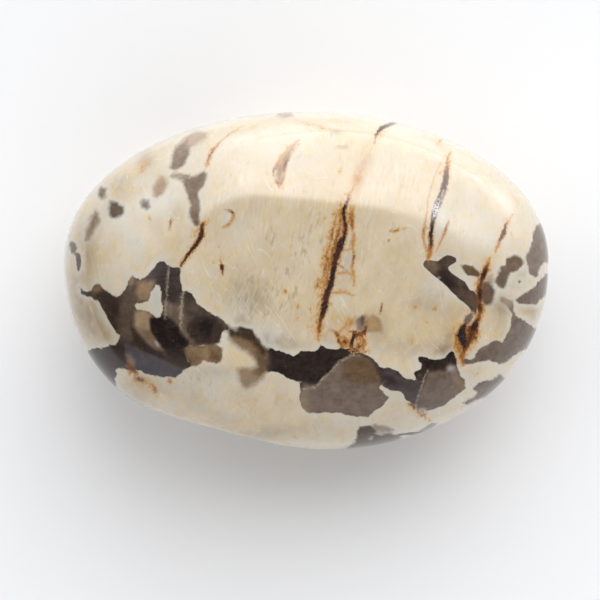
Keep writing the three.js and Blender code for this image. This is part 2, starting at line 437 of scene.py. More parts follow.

# Soft places in the feldspar, by what it is like there: x, y, two radii, turn in
# degrees and how much. The pale places are painted highlight along the upper edge and
# the right bevel; the first two tawny places and the warm one at 85, 310, on the left
# edge, are painted shade.
SOFT_PLACES = {
    "milky": [
        (160, 200, 20, 22, 0, 0.6), (120, 214, 22, 14, -30, 0.6), (137, 246, 9, 20, -20, 0.6),
        (178, 172, 26, 34, 30, 0.4), (110, 232, 30, 14, 10, 0.25), (234, 222, 16, 22, 0, 0.45),
        (244, 306, 22, 20, 30, 0.5), (275, 338, 32, 14, 15, 0.7), (347, 258, 6, 14, 0, 0.7),
        (343, 283, 8, 9, 0, 0.3), (341, 304, 9, 10, 0, 0.7), (330, 342, 7, 4, 20, 0.6),
        (300, 156, 100, 22, 3, 0.45), (470, 240, 30, 16, 10, 0.2), (430, 290, 16, 14, 40, 0.5),
        (228, 218, 5, 6, 0, 0.7), (438, 222, 14, 26, 10, 0.6), (484, 232, 34, 20, 30, 0.35),
        (505, 300, 14, 12, 0, 0.4), (452, 300, 16, 12, 40, 0.35), (440, 348, 22, 7, 0, 0.6),
        (400, 400, 20, 8, 20, 0.5), (215, 385, 30, 12, 8, 0.4), (176, 385, 20, 8, 8, 0.4),
        (345, 424, 30, 6, 0, 0.5), (400, 424, 30, 8, -10, 0.35), (470, 412, 16, 10, -30, 0.3),
        (95, 318, 8, 18, 20, 0.3), (518, 276, 16, 12, -20, 0.8), (500, 290, 10, 10, 0, 0.5),
        (157, 300, 9, 18, 0, 0.9)],
    "warm": [
        (420, 330, 40, 24, 10, 0.5), (360, 205, 60, 12, 5, 0.15), (300, 215, 50, 14, 0, 0.25),
        # The warm place at 85, 310, on the left edge, is painted shade
        (97, 262, 14, 22, 10, 0.4), (85, 310, 8, 20, 0, 0.35), (245, 362, 14, 12, 20, 0.5),
        (140, 384, 18, 7, 18, 0.6), (300, 420, 40, 14, 0, 0.2), (265, 160, 40, 14, 20, 0.2),
        (380, 300, 20, 30, 0, 0.2), (498, 325, 10, 20, 20, 0.3), (336, 317, 9, 9, 0, 0.8),
        (497, 337, 10, 8, -20, 0.6), (290, 322, 14, 12, 0, 0.5), (372, 322, 10, 8, 0, 0.7),
        (430, 395, 30, 10, 0, 0.1), (225, 430, 60, 8, -10, 0.25), (348, 160, 28, 34, 20, 0.55),
        (456, 324, 9, 18, 0, 0.7)],
    "tawny": [
        # The first two tawny places, on the left edge, are painted shade
        (88, 318, 13, 30, -25, 0.85), (106, 334, 7, 8, 0, 0.3), (84, 256, 12, 40, 5, 0.5),
        (500, 303, 12, 9, -20, 0.6), (499, 324, 12, 18, 10, 0.35), (236, 286, 24, 22, 0, 0.4),
        (260, 302, 15, 17, -20, 0.42), (300, 318, 24, 22, 0, 0.12), (346, 268, 8, 22, 0, 0.25),
        (178, 216, 8, 12, 0, 0.4), (160, 226, 12, 10, 0, 0.2), (440, 306, 28, 16, 0, 0.3),
        (336, 318, 8, 8, 0, 0.2), (326, 338, 10, 8, 0, 0.35), (518, 278, 20, 14, -20, 0.4),
        (532, 310, 12, 12, 0, 0.7), (416, 302, 16, 10, 0, 0.2), (335, 133, 9, 3.5, -5, 0.5),
        (342, 147, 6, 2.5, 0, 0.7), (250, 436, 70, 7, -8, 0.3), (130, 396, 22, 12, 30, 0.45),
        (440, 262, 14, 30, 40, 0.1), (404, 346, 40, 12, 8, 0.35), (442, 350, 14, 9, 0, 0.35),
        (112, 200, 14, 16, 0, 0.25), (146, 160, 9, 12, 30, 0.4), (352, 248, 4, 20, 0, 0.2),
        (280, 282, 22, 14, 0, 0.15), (250, 436, 60, 6, -8, 0.2), (376, 325, 13, 13, 0, 0.5),
        (288, 343, 24, 8, 10, 0.5), (243, 321, 8, 6, 30, 0.55), (120, 185, 13, 8, -40, 0.5),
        (145, 164, 8, 9, 0, 0.3), (450, 338, 8, 13, 0, 0.6), (446, 351, 10, 6, 0, 0.4),
        (505, 310, 8, 8, 0, 0.5), (352, 322, 7, 7, 0, 0.6), (140, 380, 8, 5, 15, 0.4),
        (330, 330, 6, 5, 0, 0.25)],
    # Painted highlight: pale colour along the upper edge and the right bevel, where the polish catches
    # the light
    "pale": [
        (300, 114, 90, 6, 0, 0.55), (395, 124, 50, 7, 14, 0.6), (215, 126, 40, 6, -18, 0.4),
        (465, 152, 42, 6, 36, 0.4), (240, 140, 22, 6, -14, 0.75), (272, 133, 24, 6, -8, 0.7),
        (312, 129, 26, 6, 0, 0.8), (352, 129, 24, 5, 3, 0.45), (400, 136, 30, 6, 14, 0.6),
        (440, 152, 26, 6, 26, 0.6), (484, 181, 24, 6, 42, 0.6), (506, 202, 18, 7, 55, 0.9),
        (462, 244, 22, 14, 20, 0.35)],
    "green": [
        (300, 262, 16, 34, 8, 0.5), (272, 240, 8, 16, 6, 0.45), (318, 228, 10, 26, 8, 0.35),
        (246, 290, 24, 22, -30, 0.42), (262, 308, 16, 18, -20, 0.5), (286, 300, 14, 20, 0, 0.35),
        (372, 262, 30, 40, 8, 0.15), (190, 378, 20, 8, 10, 0.4), (255, 400, 20, 20, 0, 0.2),
        (90, 250, 16, 20, 0, 0.15), (300, 180, 60, 20, 0, 0.1), (243, 288, 5, 11, -10, 0.45),
        (244, 318, 6, 5, 30, 0.5), (260, 303, 5, 5, 0, 0.5), (274, 288, 3, 3, 0, 0.5),
        (278, 297, 2, 5, -30, 0.45), (272, 313, 5, 8, 0, 0.35), (298, 294, 2, 6, 0, 0.3),
        (287, 272, 2, 5, 0, 0.5), (293, 333, 2, 5, 0, 0.35)],
    "rusty": [
        (366, 159, 6, 20, 24, 0.45), (357, 181, 6, 11, 20, 0.75), (344, 284, 7, 7, 0, 0.25),
        (349, 217, 6, 14, 0, 0.45), (336, 232, 9, 24, 10, 0.35), (328, 268, 8, 28, 10, 0.3),
        (321, 318, 4, 16, 6, 0.35), (350, 336, 18, 14, 0, 0.35), (468, 334, 12, 16, 6, 0.4),
        (479, 292, 6, 22, 4, 0.4), (310, 124, 26, 3, 14, 0.25), (202, 228, 6, 12, 20, 0.25),
        (142, 384, 16, 7, 22, 0.3), (415, 407, 8, 5, 30, 0.4)],
    "smoky": [
        (264, 338, 9, 5, 35, 0.42), (275, 346, 12, 4, 15, 0.3), (240, 324, 6, 5, 30, 0.2),
        (210, 371, 18, 7, 5, 0.4), (157, 300, 5, 14, 0, 0.25), (344, 165, 5, 10, 20, 0.08)],
    "streaky": [(330, 215, 130, 110, 0, 1.2)],
    "scratched": [(245, 300, 60, 40, 30, 0.7), (215, 390, 60, 16, 10, 0.6)],
}

# Painted glints: where the vein's metallic grains are painted light grey as if they caught the light,
# told in the same way
GLINTS = [
    (443, 194, 3, 8, 10, 0.6), (436, 209, 3.5, 11, 16, 1.2), (421, 413, 3, 3, 0, 0.9),
    (344, 217, 1.6, 8, 0, 0.5),
]

# Veins and hairlines. Each has the layer it is drawn in, so that two that lie close
# together are in different ones, whether it runs up and down or across, how far its
# rusty halo reaches on its lower and higher side and how strong that is, and points
# along it: x, y, half width and tone. Tone is -1 white, 0 orange, 1 brown black and
# 1.4 blue black. Their order gives each its lean from VEIN_LEANS.
VEINS = {
    "main": ("third", "down", (8, 4, 0.82), [
        (376, 136, -0.6, 0.4), (374, 143, -1.2, 0.3), (368, 158, -1.4, 0.2), (361, 172, -1.2, 0.2),
        (355, 184, -0.6, 0.2), (350, 194, 0.2, 0.5), (347, 202, 0.9, 1.1), (343.5, 210, 1.6, 1.4),
        (344, 218, 1.6, 1.2), (345.5, 225, 1.5, 1), (345.5, 231, 1.6, 1.1), (344, 236, 2.2, 1.1),
        (341.5, 241, 3.1, 1.1), (340, 246, 3.7, 1.1), (338.2, 251, 3.7, 1), (335, 261, 2.8, 0.95),
        (333, 272, 2.3, 1.2), (332, 280, 2.4, 1.4), (327.8, 291, 3.2, 1), (326, 298, 3.3, 0.9),
        (325.2, 303, 3, 1.1), (324.3, 309, 3.3, 1.3), (320.6, 320, 1.5, 0.75), (319.2, 331, 1, 0.6),
        (318.3, 342, 0.1, 0.1)]),
    "main_top": ("first", "down", (4, 3, 0.3), [
        (398, 118, 0.2, 1.1), (397, 121, 1.4, 1.2), (391, 124, 1.8, 1.3), (384, 127, 1.6, 1.2),
        (379, 131, 1.3, 0.9), (376, 136, 0.8, 0.6), (374, 144, 0.1, 0.3)]),
    "right": ("first", "down", (3, 3, 0.7), [
        (450, 152, 0.1, 0.1), (448, 159, 0.6, 0.2), (447.5, 163, 1.4, 0.4), (446, 177, 2.6, 0.8),
        (443.5, 190, 2.8, 0.9), (437, 206, 2.9, 1), (434, 214, 2.6, 1.1), (433, 220, 1.8, 1.2),
        (431, 233, 1.7, 1.3), (431, 240, 1.6, 1.1), (431, 246, 1.8, 0.7), (430, 251, 2.2, 0.3),
        (429, 257, 1.8, 0.1), (428, 261, 0.3, 0.1)]),
    "far_right_top": ("first", "down", (3, 3, 0.5), [
        (513, 214, 0.1, 0), (509, 220, 0, 0.1), (505, 226, 1.4, 0.8), (504, 232, 2, 0.9),
        (502, 237, 1.8, 0.8), (499, 242, 0.6, 0.5), (497, 247, 0.8, 0.1), (495, 253, 0.1, 0.1)]),
    "far_right": ("first", "down", (4, 4, 1), [
        (490, 257, 0.1, 0.1), (488, 263, 0.9, 0.2), (485, 271, 2.8, 1), (483.5, 275, 2.6, 1.1),
        (482, 280, 1.8, 0.8), (480.5, 286, 2.2, 0.6), (479.5, 291, 2.6, 1), (480, 296, 2.2, 1.1),
        (479.5, 302, 1.9, 0.7), (479.5, 308, 2.2, 1), (480, 313, 1.6, 0.55), (478.3, 318, 1.7, 0.6),
        (476, 323, 2.8, 1), (474.5, 327, 3.6, 1.2), (472, 332, 2.6, 0.8), (470, 338, 2.8, 0.8),
        (467.5, 344, 2.2, 0.8), (464.5, 350, 1.6, 0.7), (461.5, 356, 1.9, 0.5), (463, 366, 0.3, 0.3)]),
    "far_blob": ("third", "down", (4, 5, 1), [
        (466, 323, 0.2, 0.8), (463.5, 326, 2.2, 1.1), (462, 330, 3.6, 1.4), (461.5, 335, 4.4, 1.4),
        (462.5, 340, 3.8, 1.4), (464, 345, 2.6, 1.1), (464.5, 350, 1.3, 0.7), (463, 356, 0.3, 0.3)]),
    "left": ("first", "down", (3, 3, 0.9), [
        (203, 221, 0.3, 0.5), (202, 226, 1.6, 0.9), (202, 232, 2.3, 1), (200, 239, 2.6, 1.1),
        (190, 252, 1.6, 1.1), (182, 264, 0.9, 0.9), (180, 268, 0.2, 0.8)]),
    "upper_left": ("first", "down", (2, 2, 0.35), [
        (243, 126, -0.4, 0.1), (232, 132, -0.2, 0.1), (222, 140, 0, 0.1), (217, 145, 0.6, 0.2),
        (212, 152, 1.2, 0.6), (208, 160, 1.1, 0.4), (206, 167, 0.2, 0.2)]),
    "lens_left": ("first", "down", (2, 2, 0.35), [
        (299, 140, 0, 0), (295, 143, 0.7, 0), (287, 150, 0.5, 0), (282, 156, 1.3, 0),
        (276, 167, 1.7, 0.3), (273, 172, 1, 0.5), (274, 177, 0, 0.1), (277, 182, 1.2, 0.5),
        (279, 187, 0.3, 0.2)]),
    "lens_right": ("second", "down", (2, 2, 0.3), [
        (300, 143, 0, 0), (294, 150, 0.1, 0), (289, 157, 0, 0.3), (286, 163, 0.9, 0.55),
        (284, 168, 0.5, 0.5), (284.5, 173, 0.9, 0), (283, 179, 1.5, 0.3), (280, 185, 1.3, 0.3),
        (279, 188, 0.2, 0.2)]),
    "main_left": ("first", "down", (3, 3, 0.4), [
        (338, 211, 0.1, 0.2), (336, 217, 0.5, 0.2), (334, 225, 0.4, 0.3), (332, 232, 0.6, 0.6),
        (332, 238, 0.6, 0.6), (330, 244, 0.3, 0.3), (326, 262, 0.1, 0.2), (324, 271, 0.7, 0.7),
        (325, 278, 0.6, 0.4), (321, 298, 0.1, 0.3)]),
    "main_right": ("first", "down", (2, 2, 0.4), [
        (354, 205, 0.1, 0.1), (352, 212, 1.4, 0.2), (352, 219, 1.9, 0.4), (352, 225, 1.7, 0.5),
        (353, 231, 0.7, 0.1), (354, 237, 1.3, 0.1), (353, 243, 1.6, 0.2), (353, 250, 0.6, 0.1),
        (354, 257, 0.9, 0.8), (353, 262, 0.7, 0.4), (352, 269, 1, 0.1), (354, 277, 0.7, 0.1),
        (354, 288, 0.3, 0)]),
    "main_smear": ("second", "down", (5, 2, 0.5), [
        (343, 208, 0.2, 0.4), (341, 214, 1, 0.3), (339.5, 228, 1, 0.45), (337.5, 235, 1.5, 0.55),
        (333, 249, 1.2, 0.5), (327, 276, 0.7, 0.4), (325, 286, 0.2, 0.4)]),
    "right_left": ("second", "down", (2, 2, 0.4), [
        (441, 162, 0, 0), (434, 178, 0, 0), (428, 200, 0, 0), (427, 212, 0.2, 0.1), (424, 230, 1, 0.3),
        (423, 238, 1.2, 0.1), (425, 246, 0.8, 0.1), (427, 252, 0.1, 0.1)]),
    "right_right": ("second", "down", (2, 2, 0.4), [
        (449, 220, 0.1, 0.3), (446, 228, 1, 0.6), (444, 235, 1, 0.1), (436, 251, 0, 0.1)]),
    "pair_left": ("second", "down", (3, 3, 0.6), [
        (332, 330, 0.3, 0.2), (335, 331.5, 0.9, 0.4), (337.5, 334, 1.3, 1), (338.3, 338, 0.8, 0.5),
        (339, 341, 1.6, 1), (341, 344, 1.3, 0.8), (342.5, 348, 0.5, 0.4)]),
    "pair_branch": ("first", "across", (2, 2, 0.4), [
        (338, 342, 0.4, 0.5), (340.5, 338, 0.9, 0.3), (343, 336.5, 0.9, 0.3), (347, 340, 0.9, 0.35),
        (350, 345, 0.5, 0.4)]),
    "pair_right": ("second", "across", (3, 3, 0.7), [
        (350, 348, 0.4, 0.7), (350.8, 345, 1.8, 1), (352.3, 341, 2.8, 1.3), (353.8, 337, 2.6, 1.3),
        (355.5, 334.8, 1.5, 0.9), (358, 334.2, 1.2, 0.8), (360.5, 334.2, 1.3, 0.9),
        (363.8, 332, 1.6, 0.9), (366.3, 328, 1.4, 0.7), (367.2, 324, 0.3, 0.5)]),
    "far_down": ("second", "down", (2, 2, 0.4), [
        (472, 311, 0.2, -0.6), (474, 315, 0.6, -0.6), (473.5, 319, 0.6, -0.6), (469, 325, 0.4, -0.6),
        (459, 335, 0.1, 0.2), (456, 345, 0.2, 0.1), (457, 356, 0.7, -0.2), (459, 364, 0.2, -0.2)]),
    "dash": ("first", "down", (1, 1, 0.2), [
        (382, 302, 0.1, 0.5), (382, 305, 0.6, 0.8), (381, 309, 0.6, 0.8), (380, 314, 0.1, 0.5)]),
    "left_dash": ("first", "down", (2, 2, 0.4), [
        (172, 218, 0.1, 0.6), (171, 221, 0.9, 0.7), (170, 226, 0.8, 0.4), (169, 231, 0.1, 0.2)]),
    "low_left_spot": ("second", "across", (2, 2, 0.5), [
        (126, 366, 0.2, 0.5), (129, 367, 1.8, 0.6), (133, 369, 2.2, 0.6), (136, 372, 1.2, 0.5),
        (139, 374, 0.1, 0.3)]),
    "comma": ("first", "down", (2, 2, 0.3), [
        (227, 209, 0.3, 0.6), (231, 211, 1.1, 0.8), (234, 216, 1.3, 0.1), (232, 221, 1.3, 0.1),
        (228, 225, 1.2, 0.1), (223, 228, 0.4, 0.1)]),
    "speck": ("second", "down", (1, 1, 0.3), [
        (221, 262, 0.1, 0.5), (222, 267, 1.5, 1.1), (222, 271, 1.3, 1), (223, 275, 0.1, 0.5)]),
    "scratch_one": ("first", "down", (1, 1, 0), [
        (169, 263, 0.2, -1), (168, 275, 0.5, -1), (165, 320, 0.1, -1)]),
    "scratch_two": ("second", "down", (1, 1, 0), [
        (184, 288, 0.1, -1), (182, 298, 0.7, -1), (181, 312, 0.8, -1), (181, 324, 0.7, -1),
        (181, 330, 0.1, -1)]),
    "scratch_three": ("second", "down", (1, 1, 0), [
        (262, 283, 0.2, -1), (270, 291, 0.6, -1), (277, 303, 0.5, -1), (281, 312, 0.1, -1)]),
    "scratch_four": ("second", "down", (1, 1, 0), [
        (240, 308, 0.1, -1), (246, 315, 0.6, -1), (252, 322, 0.1, -1)]),
    "lobe_line": ("first", "down", (1, 1, 0), [
        (428, 370, 0.1, -1), (425, 376, 0.3, -1), (417, 400, 0.3, -1), (416, 407, 0.1, -1)]),
    "crack": ("third", "across", (1, 1, 0), [
        (393, 310, 0.1, -1), (399, 301.5, 0.4, -1), (405, 299.2, 0.5, -1), (415, 297.5, 0.5, -1),
        (421, 294, 0.6, -1), (430, 286, 0.6, -1), (440, 277, 0.2, -1)]),
    "cross_one": ("second", "across", (1, 1, 0.2), [
        (335, 274, 0.3, 0), (341, 273, 1, 0.1), (347, 272, 0.9, 0), (351, 274, 0.9, 0),
        (355, 276, 0.2, 0)]),
    "cross_two": ("second", "across", (1, 1, 0.2), [
        (331, 293, 0.4, 0.3), (337, 293, 1.2, 0.1), (342, 292, 1, 0), (347, 292, 1.1, 0),
        (351, 295, 0.8, 0), (355, 295, 0.2, 0)]),
    "cross_three": ("second", "across", (1, 1, 0.2), [
        (342, 251, 0.2, 0.1), (347, 250, 0.8, 0), (353, 248, 0.3, 0)]),
    "cross_four": ("third", "across", (1, 1, 0.2), [
        (339, 265, 0.2, 0.4), (342, 267, 0.5, 0.5), (345, 270, 0.1, 0.4)]),
    "diagonal": ("third", "across", (1, 1, 0.3), [
        (337, 333, 0.3, 0), (342, 329, 1.2, 0), (347, 325, 1.2, 0), (356, 316, 0.1, 0.1)]),
    "pair_top": ("third", "across", (1, 1, 0.4), [
        (349, 331, 0.6, 0.5), (353, 331.2, 0.9, 0.6), (357, 332.5, 1, 0.7), (361, 335, 1, 0.7),
        (363, 338, 0.8, 0.5), (365, 343, 0.3, 0.4)]),
    "pair_low": ("third", "across", (1, 1, 0.4), [
        (339, 342, 0.5, 0.6), (343, 345.3, 0.9, 0.3), (348, 346.5, 0.9, 0.3), (352, 347.5, 1.2, 0.6),
        (355, 350, 1.3, 0.9), (359, 350.5, 0.6, 0.4), (364, 353, 0.3, 0.2)]),
    "lobe_rim": ("third", "across", (1, 1, 0), [
        (303, 389, 0.1, -1), (316, 387, 0.3, -1), (322, 380, 0.5, -1), (328, 374, 0.2, -1),
        (334, 368, 0.4, -1), (340, 361, 0.4, -1), (347, 358, 0.4, -1), (352, 355, 0.1, -1),
        (360, 355, 0, -1)]),
}
VEIN_LAYERS = ("first", "second", "third")

# Rust and ochre stains in the feldspar: x, y, two radii, turn in degrees, how much
STAINS = [
    (335, 214, 5, 7, 0, 0.36), (334, 229, 6, 11, 10, 0.34), (329, 244, 4.5, 13, 10, 0.44),
    (326, 260, 6, 10, 8, 0.66), (324, 278, 4, 12, 8, 0.45), (320, 222, 5, 3, -20, 0.3),
    (350, 216, 4, 10, 0, 0.6), (318, 286, 3, 6, 0, 0.35), (320, 306, 4, 10, 6, 0.4),
    (331, 306, 3, 5, 0, 0.35), (333, 318, 2, 4, 0, 0.55), (318, 331, 3, 7, 0, 0.5),
    (352, 219, 3, 10, 0, 0.45), (353, 244, 3, 10, 0, 0.35), (353, 276, 3, 12, 0, 0.38),
    (342, 291, 8, 3, 0, 0.35), (324, 218, 4, 2, -20, 0.3), (345.5, 342, 5, 4.5, 20, 1.25),
    (334, 331, 4, 3, 30, 0.45), (355, 334, 7, 3, 5, 0.7), (361, 343, 7, 7, 20, 0.72),
    (362, 349, 10, 4, 20, 0.5), (350, 322, 5.5, 5, -30, 0.65), (368, 314, 8, 3, 0, 0.35),
    (468, 312, 8, 12, 10, 0.35), (470, 336, 5, 10, 8, 1.3), (469, 328, 4, 4, 0, 0.9),
    (476, 331, 4, 5, 0, 0.6), (477, 338, 5, 10, 8, 0.35), (457, 334, 4, 11, 0, 0.65),
    (457.5, 346, 4, 6, 0, 1), (479, 288, 4.5, 12, 4, 0.8), (480, 306, 5, 7, 0, 0.8),
    (484, 307, 4, 5, 0, 0.4), (462, 356, 5, 7, 0, 0.6), (474, 374, 7, 3, 25, 0.4),
    (206, 222, 4, 5, 0, 0.55), (195, 233, 5, 6, 20, 0.5), (186, 254, 4, 9, 30, 0.35),
    (429, 252, 5, 8, 0, 0.5), (447, 160, 5, 12, 8, 0.3), (440, 172, 3, 12, 10, 0.2),
    (440, 141, 5, 2, -50, 0.65), (454, 216, 2, 2, 0, 0.4), (454, 235, 2, 3, 0, 0.35),
    (288, 147, 3, 3, 0, 0.5), (281, 158, 4, 6, 30, 0.35), (288, 165, 2.5, 10, 15, 0.3),
    (282, 187, 3, 3, 0, 0.5), (281, 199, 2, 2, 0, 0.35), (211, 152, 4, 8, 20, 0.35),
    (208, 163, 3, 5, 10, 0.45), (386, 130, 6, 2.5, -25, 0.25), (380, 136, 3, 5, 20, 0.25),
    (364, 150, 2.5, 14, 32, 0.25), (356, 184, 5, 12, 20, 0.3), (340, 170, 2, 4, 0, 0.6),
    (220, 258, 3, 8, 0, 0.4), (230, 255, 2, 3, 0, 0.5), (222, 268, 2, 3, 0, 1.1),
    (222, 272, 2, 2, 0, 0.6), (213, 262, 3, 3, 0, 0.35), (219, 247, 2, 3, 0, 0.4),
    (149, 218, 3, 4, 0, 0.5), (143, 168, 4, 7, 20, 0.5), (132, 190, 3, 5, 0, 0.35),
    (158, 176, 3, 3, 0, 0.3), (397, 230, 8, 2, -8, 0.85), (389, 240, 2, 2, 0, 0.7),
    (435, 308, 3, 3, 0, 0.65), (415, 308, 4, 3, 0, 0.7), (427, 321, 3, 2, 0, 0.45),
    (411, 341, 3, 4, 0, 0.45), (391, 331, 2, 2, 0, 0.3), (286, 292, 3, 4, 0, 0.6),
    (288, 311, 2, 3, 0, 0.55), (297, 306, 2.5, 4, 0, 0.5), (297, 318, 2, 6, 0, 0.4),
    (308, 326, 4, 2, 0, 0.5), (317, 285, 3, 6, 0, 0.55), (311, 309, 2, 8, 0, 0.45),
    (413, 406, 6, 3.5, 38, 1), (422, 413, 5, 6, -30, 0.95), (430, 420, 3, 2, 40, 0.6),
    (462, 408, 4, 3, -20, 0.4), (414, 433, 6, 1.5, -5, 0.35), (359, 423, 1, 6, 0, 0.5),
    (373, 422, 1, 6, -15, 0.5), (141, 380, 9, 4.5, 20, 0.65), (153, 388, 6, 3.5, 40, 0.7),
    (138, 379, 4, 3, 0, 0.6), (132, 370, 4, 4, 30, 1.25), (156, 394, 2, 8, 0, 0.5),
    (170, 381, 3, 3.5, 10, 0.7), (195, 303, 3, 3, 0, 0.5), (296, 437, 3, 3, 0, 0.35),
    (275, 433, 3, 3, 0, 0.35), (499, 242, 4, 8, 10, 0.35), (520, 281, 2, 2, 0, 0.3),
    (312, 132, 12, 3, 10, 0.2), (504, 220, 8, 5, -30, 0.15), (320, 127, 22, 2, 14, 0.3),
]


def seen_at(points, flat=False):
    """The photograph's pixels at which the camera sees points in millimetres. Flat takes
    them all to be at the height of the widest section."""
    depth = CAMERA_ABOVE_SECTION if flat else CAMERA[2] - points[:, 2]
    focal = PIXELS_PER_MM * CAMERA_ABOVE_SECTION
    across = PHOTO_SIZE / 2 + focal * (points[:, 0] - CAMERA[0]) / depth
    down = PHOTO_SIZE / 2 - focal * (points[:, 1] - CAMERA[1]) / depth
    return np.column_stack([across, down])


def share_of_round_form(p):
    """How far out points are, as a share of the way to the unground stone's surface."""
    x, y, z = np.abs(p).T
    back = p[:, 1] > 0
    half_width = np.where(back, REACH_TO_PLUS_Y, REACH_TO_MINUS_Y)
    roundness = np.where(back, ROUNDNESS_PLUS_Y, ROUNDNESS_MINUS_Y)
    dome = np.where(p[:, 2] > 0, DOME_ABOVE, DOME_BELOW)
    outline = ((x / (LENGTH / 2)) ** roundness + (y / half_width) ** roundness) ** (1 / roundness)
    m = ROUNDNESS_OF_SECTION
    return (outline**m + (z / dome) ** m) ** (1 / m)


def share_of_stone(p):
    """The same share for the finished stone, with the soft flats' edges eased."""
    total = share_of_round_form(p) ** EDGE_TIGHTNESS
    for faces, distance in SOFT_FLATS.values():
        normal = np.array(faces) / np.linalg.norm(faces)
        total += np.maximum(0, p @ normal / distance) ** EDGE_TIGHTNESS
    return total ** (1 / EDGE_TIGHTNESS)


def moved_to_surface(p):
    """Points moved along their rays from the middle of the section onto the stone."""
    p = p / share_of_stone(p)[:, None]
    low = p[:, 2] < -RESTING_DEPTH
    p[low] *= (-RESTING_DEPTH / p[low, 2])[:, None]
    return p


def grid_of_box(size):
    """The grid points on a box's six sides, in whole steps, and its squares."""
    squares = []
    for axis, steps in enumerate(size):
        u, v = (axis + 1) % 3, (axis + 2) % 3
        a, b = np.meshgrid(np.arange(size[u]), np.arange(size[v]), indexing="ij")
        for side in (0, steps):
            corners = np.zeros((a.size, 4, 3), int)
            corners[:, :, axis] = side
            for corner, (step_u, step_v) in enumerate(((0, 0), (1, 0), (1, 1), (0, 1))):
                corners[:, corner, u] = a.ravel() + step_u
                corners[:, corner, v] = b.ravel() + step_v
            squares.append(corners if side else corners[:, ::-1])
    every = np.concatenate(squares).reshape(-1, 3)
    points, index = np.unique(every, axis=0, return_inverse=True)
    return points, index.reshape(-1, 4)


def edge_distance(xy, outline):
    """Signed distance to an outline in pixels, positive inside it."""
    corners = np.array(outline, float)
    nearest = np.full(len(xy), np.inf)
    inside = np.zeros(len(xy), bool)
    for a, b in zip(corners, np.roll(corners, -1, axis=0)):
        along = b - a
        from_a = xy - a
        share = np.clip(from_a @ along / (along @ along), 0, 1)
        nearest = np.minimum(nearest, np.hypot(*(from_a - share[:, None] * along).T))
        crosses = (a[1] > xy[:, 1]) != (b[1] > xy[:, 1])
        rise = b[1] - a[1] or 1.0
        inside ^= crosses & (xy[:, 0] < a[0] + (xy[:, 1] - a[1]) * along[0] / rise)
    return np.where(inside, nearest, -nearest)


def spots(xy, places):
    """The sum of soft oval spots, each x, y, two radii, turn in degrees and amount."""
    total = np.zeros(len(xy))
    for x, y, radius_x, radius_y, turn, amount in places:
        c, s = math.cos(math.radians(turn)), math.sin(math.radians(turn))
        dx, dy = xy[:, 0] - x, xy[:, 1] - y
        across = (c * dx + s * dy) / radius_x
        along = (c * dy - s * dx) / radius_y
        total += amount * np.exp(-(across**2 + along**2))
    return total


def quartz_fields(xy, patches, islands):
    """Signed distance into the quartz, and its darkness, brownness and edge softness."""
    inside = np.full(len(xy), -np.inf)
    weights = np.zeros(len(xy))
    totals = np.zeros((3, len(xy)))
    for *tones, outline in patches.values():
        distance = edge_distance(xy, outline)
        inside = np.maximum(inside, distance)
        weight = np.exp(np.clip(distance, *PATCH_BLEND_REACH) * PATCH_BLEND)
        weights += weight
        totals += weight * np.array(tones)[:, None]
    for outline in islands.values():
        inside = np.minimum(inside, -edge_distance(xy, outline))
    return inside, totals / weights


def across_vein(xy, below, run, lean, points):
    """How far points lie to the higher side of a vein, and its half width and tone there.
    A vein is a sheet that goes on down through the stone, leaning a little, so below is
    how far under the widest section a point lies."""
    main, side = (1, 0) if run == "down" else (0, 1)
    table = np.array(sorted(points, key=lambda p: p[main]))
    at = xy[:, main]
    slope = np.gradient(table[:, side], table[:, main])
    steepness = np.sqrt(1 + np.interp(at, table[:, main], slope) ** 2)
    middle = np.interp(at, table[:, main], table[:, side]) + lean * below
    past_end = np.maximum(0, np.maximum(table[0, main] - at, at - table[-1, main]))
    width = np.interp(at, table[:, main], table[:, 2]) - past_end
    return (xy[:, side] - middle) / steepness, width, np.interp(at, table[:, main], table[:, 3])


def vein_fields(xy, below):
    """For each layer, the offset from its nearest vein, with that vein's half width and
    tone, and the rusty halo of them all."""
    fields = {}
    halo = np.zeros(len(xy))
    bare, full = HALO_HALF_WIDTHS
    for layer in VEIN_LAYERS:
        best = np.full(len(xy), -np.inf)
        offset = np.full(len(xy), NO_VEIN_OFFSET)
        half_width = np.full(len(xy), NO_VEIN_WIDTH)
        tone = np.zeros(len(xy))
        for number, (of_layer, run, (low, high, amount), points) in enumerate(VEINS.values()):
            if of_layer != layer:
                continue
            lean = VEIN_LEANS[number % len(VEIN_LEANS)]
            shift, width, tone_here = across_vein(xy, below, run, lean, points)
            reach = np.where(shift < 0, low, high)
            presence = np.clip((width - bare) / (full - bare), 0, 1)
            halo = np.maximum(halo, amount * presence * np.exp(-np.abs(shift / reach) ** HALO_FALL))
            near = (width - np.abs(shift) > best) & (np.abs(shift) < width + VEIN_MARGIN)
            best[near] = (width - np.abs(shift))[near]
            offset[near] = shift[near]
            half_width[near] = width[near]
            tone[near] = tone_here[near]
        fields[layer + "_offset"] = offset / PIXELS_PER_MM
        fields[layer + "_width"] = half_width / PIXELS_PER_MM
        fields[layer + "_tone"] = tone
    return fields, halo


def eased(x, start, end):
    """0 before start, 1 after end and a smooth rise between."""
    t = np.clip((x - start) / (end - start), 0, 1)
    return t * t * (3 - 2 * t)


